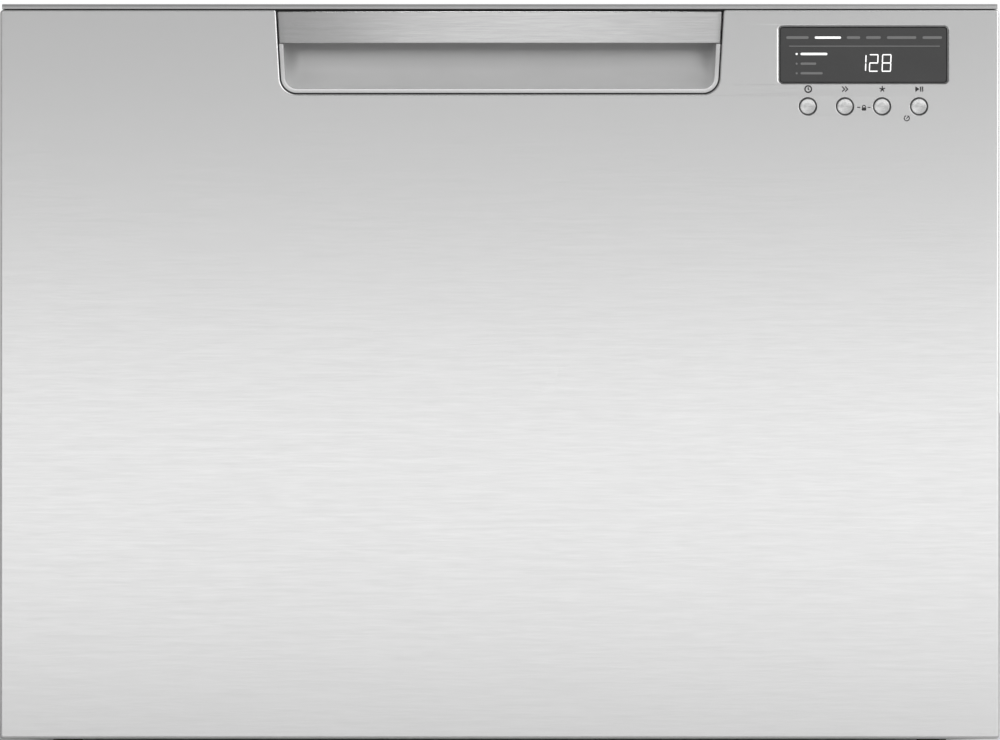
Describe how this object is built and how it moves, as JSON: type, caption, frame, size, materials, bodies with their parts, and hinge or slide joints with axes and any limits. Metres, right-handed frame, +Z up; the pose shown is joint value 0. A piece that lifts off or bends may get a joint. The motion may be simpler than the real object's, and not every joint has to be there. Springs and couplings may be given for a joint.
{
  "type": "dishwasher drawer",
  "caption": "Built-under pull-out dishwasher drawer with stainless front, recessed grip, display, buttons, wash tub, rack, lid lift and telescopic runners.",
  "frame": {"origin": "middle of the machine's width and depth, on the floor that the feet stand on", "axes": "+X to the right of someone facing the drawer, +Y from the front to the rear connections, +Z up"},
  "size_m": [0.599, 0.573, 0.454],
  "materials": {
    "stainless_skin": "fine horizontal brush",
    "handle_steel": "fine horizontal brush",
    "trim_silver": "silver lacquer",
    "recess_silver": "satin silver lacquer",
    "control_plastic": "satin silver bezel",
    "display_window": "dark smoked, glossy",
    "button_metal": "turned face",
    "felt": "bitumen-backed felt",
    "carrier_plastic": "moulded",
    "fan_plastic": "moulded",
    "tub_plastic": "satin moulded",
    "motor_black": "satin black",
    "impeller_plastic": "moulded",
    "heater_sheath": "heat-tinted",
    "filter_plastic": "moulded",
    "spray_arm_plastic": "moulded",
    "dispenser_plastic": "moulded",
    "cap_plastic": "moulded",
    "rack_coating": "nylon dip coat on steel wire",
    "basket_plastic": "moulded",
    "runner_steel": "bright zinc",
    "galvanised_sheet": "hot-dip galvanised",
    "tray_plastic": "moulded",
    "foot_plastic": "moulded",
    "valve_plastic": "moulded",
    "drain_plastic": "moulded",
    "terminal_plastic": "moulded",
    "lid_plastic": "satin moulded",
    "seal_rubber": "moulded",
    "lever_zinc": "zinc plated",
    "arm_plastic": "moulded"
  },
  "bodies": {
    "chassis": {"chassis_side_left": "galvanised_sheet", "chassis_side_right": "galvanised_sheet", "chassis_top": "galvanised_sheet", "chassis_back": "galvanised_sheet", "base_tray": "tray_plastic", "runner_outer_left": "runner_steel", "runner_outer_right": "runner_steel", "inlet_valve": "valve_plastic", "drain_connector": "drain_plastic", "terminal_box": "terminal_plastic", "lid_motor_left": "motor_black", "lid_motor_right": "motor_black"},
    "drawer": {"front_panel": "stainless_skin", "top_trim": "trim_silver", "handle_recess": "recess_silver", "handle_bar": "handle_steel", "control_module": "control_plastic", "display_lens": "display_window", "insulation_pad": "felt", "front_carrier": "carrier_plastic", "drying_fan_housing": "fan_plastic", "tub": "tub_plastic", "pump_motor": "motor_black", "heating_element": "heater_sheath", "filter_plate": "filter_plastic", "dispenser": "dispenser_plastic", "dish_rack": "rack_coating", "cutlery_basket": "basket_plastic", "runner_inner_left": "runner_steel", "runner_inner_right": "runner_steel"},
    "lid": {"lid": "lid_plastic", "lid_seal": "seal_rubber"},
    "drain_filter": {"drain_filter": "filter_plastic"},
    "spray_arm": {"spray_arm": "spray_arm_plastic"},
    "pump_rotor": {"pump_rotor": "impeller_plastic"},
    "drying_fan_rotor": {"drying_fan_rotor": "fan_plastic"},
    "detergent_door": {"detergent_door": "dispenser_plastic"},
    "rinse_aid_cap": {"rinse_aid_cap": "cap_plastic"},
    "tine_row_left": {"tine_row_left": "rack_coating"},
    "tine_row_right": {"tine_row_right": "rack_coating"},
    "cup_shelf_left": {"cup_shelf_left": "rack_coating"},
    "cup_shelf_right": {"cup_shelf_right": "rack_coating"},
    "button_delay": {"button_delay": "button_metal"},
    "button_program": {"button_program": "button_metal"},
    "button_option": {"button_option": "button_metal"},
    "button_start": {"button_start": "button_metal"},
    "runner_middle_left": {"runner_middle_left": "runner_steel"},
    "runner_middle_right": {"runner_middle_right": "runner_steel"},
    "lid_lever_front_left": {"lid_lever_front_left": "lever_zinc"},
    "lid_lever_front_right": {"lid_lever_front_right": "lever_zinc"},
    "lid_lever_rear_left": {"lid_lever_rear_left": "lever_zinc"},
    "lid_lever_rear_right": {"lid_lever_rear_right": "lever_zinc"},
    "lid_drive_rod_left": {"lid_drive_rod_left": "lever_zinc"},
    "lid_drive_rod_right": {"lid_drive_rod_right": "lever_zinc"},
    "foot_front_left": {"foot_front_left": "foot_plastic"},
    "foot_front_right": {"foot_front_right": "foot_plastic"},
    "foot_rear_left": {"foot_rear_left": "foot_plastic"},
    "foot_rear_right": {"foot_rear_right": "foot_plastic"},
    "hose_arm_lower": {"hose_arm_lower": "arm_plastic"},
    "hose_arm_upper": {"hose_arm_upper": "arm_plastic"}
  },
  "joints": [
    {"name": "drawer_slide", "type": "slide", "parent": "chassis", "child": "drawer", "axis": [0, -1, 0], "range_m": [0, 0.48]},
    {"name": "runner_middle_left_slide", "type": "slide", "parent": "chassis", "child": "runner_middle_left", "axis": [0, -1, 0], "range_m": [0, 0.24]},
    {"name": "runner_middle_right_slide", "type": "slide", "parent": "chassis", "child": "runner_middle_right", "axis": [0, -1, 0], "range_m": [0, 0.24]},
    {"name": "lid_lift", "type": "slide", "parent": "chassis", "child": "lid", "axis": [0, 0, -1], "range_m": [0, 0.012]},
    {"name": "lid_lever_front_left_pivot", "type": "hinge", "parent": "chassis", "child": "lid_lever_front_left", "pos_m": [-0.285, -0.16176, 0.424], "axis": [1, 0, 0], "range_deg": [0, 28.96]},
    {"name": "lid_lever_rear_left_pivot", "type": "hinge", "parent": "chassis", "child": "lid_lever_rear_left", "pos_m": [-0.285, 0.20824, 0.424], "axis": [1, 0, 0], "range_deg": [0, 28.96]},
    {"name": "lid_drive_rod_left_slide", "type": "slide", "parent": "chassis", "child": "lid_drive_rod_left", "axis": [0, 1, 0], "range_m": [0, 0.012]},
    {"name": "lid_lever_front_right_pivot", "type": "hinge", "parent": "chassis", "child": "lid_lever_front_right", "pos_m": [0.285, -0.16176, 0.424], "axis": [1, 0, 0], "range_deg": [0, 28.96]},
    {"name": "lid_lever_rear_right_pivot", "type": "hinge", "parent": "chassis", "child": "lid_lever_rear_right", "pos_m": [0.285, 0.20824, 0.424], "axis": [1, 0, 0], "range_deg": [0, 28.96]},
    {"name": "lid_drive_rod_right_slide", "type": "slide", "parent": "chassis", "child": "lid_drive_rod_right", "axis": [0, 1, 0], "range_m": [0, 0.012]},
    {"name": "hose_arm_lower_pivot", "type": "hinge", "parent": "chassis", "child": "hose_arm_lower", "pos_m": [-0.24, 0.252, 0.09], "axis": [0, 0, -1], "range_deg": [0, 30]},
    {"name": "hose_arm_upper_pivot", "type": "hinge", "parent": "drawer", "child": "hose_arm_upper", "pos_m": [-0.24, 0.252, 0.108], "axis": [0, 0, 1], "range_deg": [0, 30]},
    {"name": "spray_arm_spin", "type": "hinge", "parent": "drawer", "child": "spray_arm", "pos_m": [0, 0, 0.105], "axis": [0, 0, 1], "continuous": true},
    {"name": "pump_rotor_spin", "type": "hinge", "parent": "drawer", "child": "pump_rotor", "pos_m": [0, 0, 0.05], "axis": [0, 0, 1], "continuous": true},
    {"name": "drying_fan_spin", "type": "hinge", "parent": "drawer", "child": "drying_fan_rotor", "pos_m": [0.19, -0.268, 0.1], "axis": [0, 1, 0], "continuous": true},
    {"name": "drain_filter_twist", "type": "hinge", "parent": "drawer", "child": "drain_filter", "pos_m": [-0.098, -0.058, 0.084], "axis": [0, 0, -1], "range_deg": [0, 60]},
    {"name": "detergent_door_hinge", "type": "hinge", "parent": "drawer", "child": "detergent_door", "pos_m": [-0.04, -0.2382, 0.3166], "axis": [-1, 0, 0], "range_deg": [0, 95]},
    {"name": "rinse_aid_cap_twist", "type": "hinge", "parent": "drawer", "child": "rinse_aid_cap", "pos_m": [0.042, -0.2407, 0.347], "axis": [0, 1, 0], "range_deg": [0, 90]},
    {"name": "tine_row_left_fold", "type": "hinge", "parent": "drawer", "child": "tine_row_left", "pos_m": [-0.081, 0, 0.1354], "axis": [0, -1, 0], "range_deg": [0, 80]},
    {"name": "tine_row_right_fold", "type": "hinge", "parent": "drawer", "child": "tine_row_right", "pos_m": [0.081, 0, 0.1354], "axis": [0, 1, 0], "range_deg": [0, 80]},
    {"name": "cup_shelf_left_fold", "type": "hinge", "parent": "drawer", "child": "cup_shelf_left", "pos_m": [-0.238, 0, 0.242], "axis": [0, -1, 0], "range_deg": [0, 80]},
    {"name": "cup_shelf_right_fold", "type": "hinge", "parent": "drawer", "child": "cup_shelf_right", "pos_m": [0.238, 0, 0.242], "axis": [0, 1, 0], "range_deg": [0, 80]},
    {"name": "button_delay_press", "type": "slide", "parent": "drawer", "child": "button_delay", "axis": [0, 1, 0], "range_m": [0, 0.0012], "stiffness_N_per_m": 500},
    {"name": "button_program_press", "type": "slide", "parent": "drawer", "child": "button_program", "axis": [0, 1, 0], "range_m": [0, 0.0012], "stiffness_N_per_m": 500},
    {"name": "button_option_press", "type": "slide", "parent": "drawer", "child": "button_option", "axis": [0, 1, 0], "range_m": [0, 0.0012], "stiffness_N_per_m": 500},
    {"name": "button_start_press", "type": "slide", "parent": "drawer", "child": "button_start", "axis": [0, 1, 0], "range_m": [0, 0.0012], "stiffness_N_per_m": 500},
    {"name": "foot_front_left_level", "type": "slide", "parent": "chassis", "child": "foot_front_left", "axis": [0, 0, -1], "range_m": [0, 0.015]},
    {"name": "foot_front_right_level", "type": "slide", "parent": "chassis", "child": "foot_front_right", "axis": [0, 0, -1], "range_m": [0, 0.015]},
    {"name": "foot_rear_left_level", "type": "slide", "parent": "chassis", "child": "foot_rear_left", "axis": [0, 0, -1], "range_m": [0, 0.015]},
    {"name": "foot_rear_right_level", "type": "slide", "parent": "chassis", "child": "foot_rear_right", "axis": [0, 0, -1], "range_m": [0, 0.015]}
  ],
  "couplings": [
    {"joint": "runner_middle_left_slide", "follows": "drawer_slide", "ratio": 0.5},
    {"joint": "runner_middle_right_slide", "follows": "drawer_slide", "ratio": 0.5},
    {"joint": "hose_arm_lower_pivot", "follows": "drawer_slide", "rad_per_m": 1.0905},
    {"joint": "hose_arm_upper_pivot", "follows": "drawer_slide", "rad_per_m": 1.0905},
    {"joint": "lid_lever_front_left_pivot", "follows": "lid_lift", "rad_per_m": 42.111},
    {"joint": "lid_lever_rear_left_pivot", "follows": "lid_lift", "rad_per_m": 42.111},
    {"joint": "lid_drive_rod_left_slide", "follows": "lid_lift", "ratio": 1},
    {"joint": "lid_lever_front_right_pivot", "follows": "lid_lift", "rad_per_m": 42.111},
    {"joint": "lid_lever_rear_right_pivot", "follows": "lid_lift", "rad_per_m": 42.111},
    {"joint": "lid_drive_rod_right_slide", "follows": "lid_lift", "ratio": 1}
  ]
}
